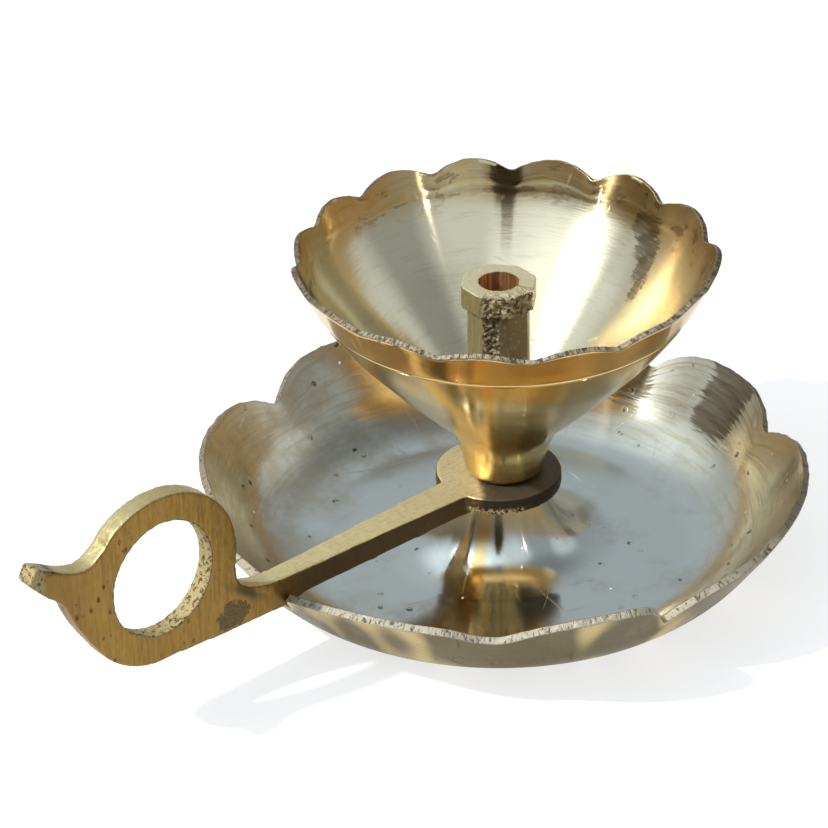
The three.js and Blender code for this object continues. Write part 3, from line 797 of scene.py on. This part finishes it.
def makeHandle(material):
    outline = [(8, handle["top"])] + handle["fillet"] + ringArc(194, 53, 40) + handle["tailTop"] \
        + handle["tailUnder"] + ringArc(-31, -96, 20) + handle["bottom"]
    bm = bmesh.new()
    ring = [bm.verts.new((-out, 0, z)) for out, z in outline]
    loop = [bm.edges.new((ring[i], ring[(i + 1) % len(ring)])) for i in range(len(ring))]
    cx, cz = handle["holeCentre"]
    rx, rz = handle["hole"]
    gap = [bm.verts.new((-cx - rx * cos(2 * pi * k / 64), 0, cz + rz * sin(2 * pi * k / 64)))
           for k in range(64)]
    loop += [bm.edges.new((gap[i], gap[(i + 1) % 64])) for i in range(64)]
    bmesh.ops.triangle_fill(bm, edges=loop, use_beauty=True)
    made = bmesh.ops.extrude_face_region(bm, geom=bm.faces[:])
    far = {v for v in made["geom"] if isinstance(v, bmesh.types.BMVert)}
    for v in bm.verts:
        half = barHalf(-v.co.x)
        v.co.y = half if v in far else -half
    # the eye is a washer shape of its own, fused by the remesh
    top, bottom = handle["top"], handle["top"] - handle["eyeThick"]
    hole, rim, soft = handle["screwHole"], handle["eye"], handle["eyeSoft"]
    eye = [bm.verts.new((radius, 0, z)) for radius, z in [
        (hole, bottom), (rim - soft, bottom), (rim, bottom + soft),
        (rim, top - soft), (rim - soft, top), (hole, top)]]
    edges = [bm.edges.new((eye[i], eye[(i + 1) % len(eye)])) for i in range(len(eye))]
    bmesh.ops.spin(bm, geom=eye + edges, axis=(0, 0, 1), angle=2 * pi, steps=96, use_merge=True)
    bmesh.ops.recalc_face_normals(bm, faces=bm.faces)
    bm = remeshed(bm, handle["voxel"])
    for v in bm.verts:
        push = noise.fractal(v.co * 0.9, 1, 2, 3) * handle["rough"]
        # burrs hang from the eye's lower front edge
        left = handle["burrHalf"] - turnAway(degrees(atan2(v.co.y, v.co.x)), handle["burrTurn"])
        atRim = hypot(v.co.x, v.co.y) > handle["eye"] - 0.8
        if left > 0 and atRim and v.co.z < handle["burrTop"]:
            fade = min(left / handle["burrFade"], 1)
            push += noise.fractal(v.co * 2.1, 0.8, 2, 4) * handle["burr"] * fade
        v.co += v.normal * push
    ontoAxis(bm)
    return finished(bm, "handleCasting", material, "base", "handle", 60)


def remeshed(bm, voxel):
    mesh = asMesh(bm, "raw")
    raw = placed("raw", mesh)
    remesh = raw.modifiers.new("remesh", "REMESH")
    remesh.mode = "VOXEL"
    remesh.voxel_size = voxel
    graph = bpy.context.evaluated_depsgraph_get()
    fine = bpy.data.meshes.new_from_object(raw.evaluated_get(graph))
    bm = bmesh.new()
    bm.from_mesh(fine)
    bpy.data.objects.remove(raw)
    bpy.data.meshes.remove(mesh)
    bpy.data.meshes.remove(fine)
    bmesh.ops.smooth_vert(bm, verts=bm.verts, factor=0.5, use_axis_x=True, use_axis_y=True,
                          use_axis_z=True)
    bm.normal_update()
    return bm


# the wick holder

wick = {
    "foot": 20.6, "tall": 28.6, "head": 11.5, "headTall": 3.6, "stem": 9.5, "turn": -4,
    "bore": 3.18, "boreDeep": 18.5, "thread": 2.08, "threadDeep": 8, "voxel": 0.13, "rough": 0.05,
    "brokenTurn": 214, "brokenWidth": 17, "headTurn": 246, "headWidth": 47, "broken": 0.55,
    "cornerRadius": 6.03,
}


def prism(bm, sides, across, low, high, turn):
    made = bmesh.ops.create_cone(bm, cap_ends=True, segments=sides,
                                 radius1=across / 2 / cos(pi / sides),
                                 radius2=across / 2 / cos(pi / sides), depth=high - low)
    spot = Matrix.Translation((0, 0, (low + high) / 2)) @ Matrix.Rotation(radians(turn), 4, "Z")
    bmesh.ops.transform(bm, verts=made["verts"], matrix=spot)
    return made["verts"]


def cutAway(bm, tool):
    body, knife = [placed("cut", asMesh(part, "cut")) for part in (bm, tool)]
    cut = body.modifiers.new("cut", "BOOLEAN")
    cut.operation = "DIFFERENCE"
    cut.object = knife
    graph = bpy.context.evaluated_depsgraph_get()
    result = bpy.data.meshes.new_from_object(body.evaluated_get(graph))
    out = bmesh.new()
    out.from_mesh(result)
    bpy.data.meshes.remove(result)
    for piece in (body, knife):
        mesh = piece.data
        bpy.data.objects.remove(piece)
        bpy.data.meshes.remove(mesh)
    return out


def makeWick(material):
    top = wick["foot"] + wick["tall"]
    bm = bmesh.new()
    prism(bm, 8, wick["stem"], wick["foot"], top - 1, wick["turn"] + 22.5)
    bm = remeshed(bm, wick["voxel"])
    head = bmesh.new()
    prism(head, 8, wick["head"], top - wick["headTall"], top, wick["turn"] + 22.5)
    mesh = asMesh(head, "head")
    bm.from_mesh(mesh)
    bpy.data.meshes.remove(mesh)
    bm = remeshed(bm, wick["voxel"])
    for v in bm.verts:
        part = "head" if v.co.z > top - wick["headTall"] - 0.2 else "broken"
        away = turnAway(degrees(atan2(v.co.y, v.co.x)), wick[part + "Turn"])
        broken = min(max((wick[part + "Width"] - away) / 7, 0), 1)
        broken *= min(max(hypot(v.co.x, v.co.y) - 3.9, 0), 1)
        fine = noise.fractal(v.co * 0.7, 1, 2, 4)
        lump = noise.fractal(v.co * 1.3, 0.9, 2, 4) - 0.3
        v.co += v.normal * (fine * wick["rough"] + broken * min(lump, 0.25) * wick["broken"])
        if part == "head":      # its corners are worn round
            worn = min(wick["cornerRadius"] / max(hypot(v.co.x, v.co.y), 1), 1)
            v.co.x *= worn
            v.co.y *= worn
    tool = bmesh.new()
    prism(tool, 48, 2 * wick["bore"], top - wick["boreDeep"], top + 1, 0)
    prism(tool, 32, 2 * wick["thread"], wick["foot"] - 1, wick["foot"] + wick["threadDeep"], 0)
    bm = cutAway(bm, tool)
    ontoAxis(bm)
    return finished(bm, "wickPost", material, "wick", "wick_holder", 50)


cupBrass = cupFinish()
makePlate(plateFinish())
makeCup(cupBrass)
makeHandle(handleFinish())
makeWick(wickFinish())
for name, pitch in (("fixing_screw", 0.5), ("washer", 0.35)):
    node = bpy.data.objects[name]
    node.data.materials.clear()
    node.data.materials.append(screwFinish(name + "Brass", pitch))
print("pieces ready")

# camera and studio

photo = {"place": (-333.4, -363.9, 311.9), "tilt": 59.84, "turn": -42.5, "lens": 154.6,
         "shift": -0.1025}
cameraData = bpy.data.cameras.new("camera")
cameraData.lens = photo["lens"]
cameraData.sensor_width = 36
cameraData.shift_x = photo["shift"]
camera = placed("camera", cameraData)
camera.location = [(a + b) / 1000 for a, b in zip(photo["place"], (*screwAxis, 0))]
camera.rotation_euler = (radians(photo["tilt"]), 0, radians(photo["turn"]))
bpy.context.scene.camera = camera


# turns are measured round the object from the camera's right hand, as the photograph is seen
studio = {
    "sky": 0.36, "skyColour": (0.8, 0.93, 1.08), "low": 0.3, "lowColour": (1.0, 0.77, 0.46),
    "horizon": (15, 21), "floor": 0.75, "floorColour": (0.35, 0.35, 0.35),
    # the hard light, and a weak one that draws the thin line down the cup's left side
    "lamps": [(200, 45, 12), (320, 31, 0.22)], "lampSize": 0.035, "lampFar": 1.2,
    # turn, rise, spread and level of each soft panel; a level below zero is a dark one
    "panels": [(180, 60, 45, 0.62), (240, 56, 32, 0.75), (300, 45, 30, 0.4), (120, 45, 45, 0.15),
               (200, 45, 18, 1.4), (201, 47, 11, 6), (180, 75, 30, -0.44), (30, 70, 40, -0.14),
               (28, 25, 24, 0.32)],
    # black cards: turn, half width, top and softness in degrees, and how dark
    "cards": [(270, 8, 31, 1, 0.75), (270, 7, 39, 1, 0.92), (269, 4.5, 47, 1, 0.92),
              (231, 50, 26, 2.5, 0.6), (167, 17, 17, 2, 0.55)],
}


def towards(turn, rise):
    turn, rise = radians(turn + photo["turn"]), radians(rise)
    return Vector((cos(turn) * cos(rise), sin(turn) * cos(rise), sin(rise)))


def makeFloor():
    bm = bmesh.new()
    bmesh.ops.create_grid(bm, x_segments=1, y_segments=1, size=3)
    mesh = asMesh(bm, "floor")
    material = bpy.data.materials.new("floorWhite")
    material.use_nodes = True
    graph = Graph(material.node_tree)
    seen = [graph.add("ShaderNodeLightPath", {}, {}, name)
            for name in ("Is Camera Ray", "Is Glossy Ray", "Is Transmission Ray")]
    shader = graph.tree.nodes["Principled BSDF"]
    graph.feed(shader.inputs["Base Color"], studio["floorColour"])
    graph.feed(shader.inputs["Roughness"], 1.0)
    graph.feed(shader.inputs["Specular IOR Level"], 0.0)
    graph.feed(shader.inputs["Emission Color"], (1.0, 1.0, 1.0))
    lit = seen[0] + seen[1] + seen[2]
    graph.feed(shader.inputs["Emission Strength"], lit * studio["floor"])
    mesh.materials.append(material)
    placed("floor", mesh)


def makeSky():
    world = bpy.data.worlds.new("studio")
    world.use_nodes = True
    bpy.context.scene.world = world
    graph = Graph(world.node_tree)
    way = graph.add("ShaderNodeTexCoord", {}, {}, "Generated")
    rise = graph.split(way)[2]
    level = studio["sky"]
    for turn, height, spread, strength in studio["panels"]:
        near = graph.vector("DOT_PRODUCT", way, tuple(towards(turn, height)), output=1)
        level = near.step(cos(radians(spread)), 1) * strength + level
    low, high = [sin(radians(angle)) for angle in studio["horizon"]]
    above = rise.step(low, high)
    level = above * level + (1 - above) * studio["low"]
    colour = graph.blend(above, studio["lowColour"], studio["skyColour"])
    for turn, half, top, soft, dark in studio["cards"]:
        ahead = graph.vector("DOT_PRODUCT", way, tuple(towards(turn, 0)), output=1)
        aside = graph.vector("DOT_PRODUCT", way, tuple(towards(turn + 90, 0)), output=1)
        off = aside.maths("ARCTAN2", aside.maths("ABSOLUTE", aside), ahead)
        card = (1 - off.step(radians(half - soft), radians(half + soft))) \
            * (1 - rise.step(sin(radians(top - soft)), sin(radians(top + soft))))
        level = level * (1 - card * dark)
        colour = graph.blend(card, colour, studio["lowColour"])
    seen = graph.add("ShaderNodeLightPath", {}, {}, "Is Camera Ray")
    background = graph.tree.nodes["Background"]
    graph.feed(background.inputs["Color"], graph.blend(seen, colour, (1.0, 1.0, 1.0)))
    level = level.maths("MAXIMUM", level, 0.02)
    graph.feed(background.inputs["Strength"], level * (1 - seen) + seen)


def makeLamp(turn, rise, power):
    data = bpy.data.lights.new("lamp", "AREA")
    data.shape = "DISK"
    data.size = studio["lampSize"]
    data.energy = power
    lamp = placed("lamp", data)
    way = towards(turn, rise)
    lamp.location = way * studio["lampFar"]
    lamp.rotation_euler = way.to_track_quat("Z", "Y").to_euler()


makeFloor()
makeSky()
for lamp in studio["lamps"]:
    makeLamp(*lamp)
bpy.context.scene.view_settings.view_transform = "Standard"
print("studio ready")
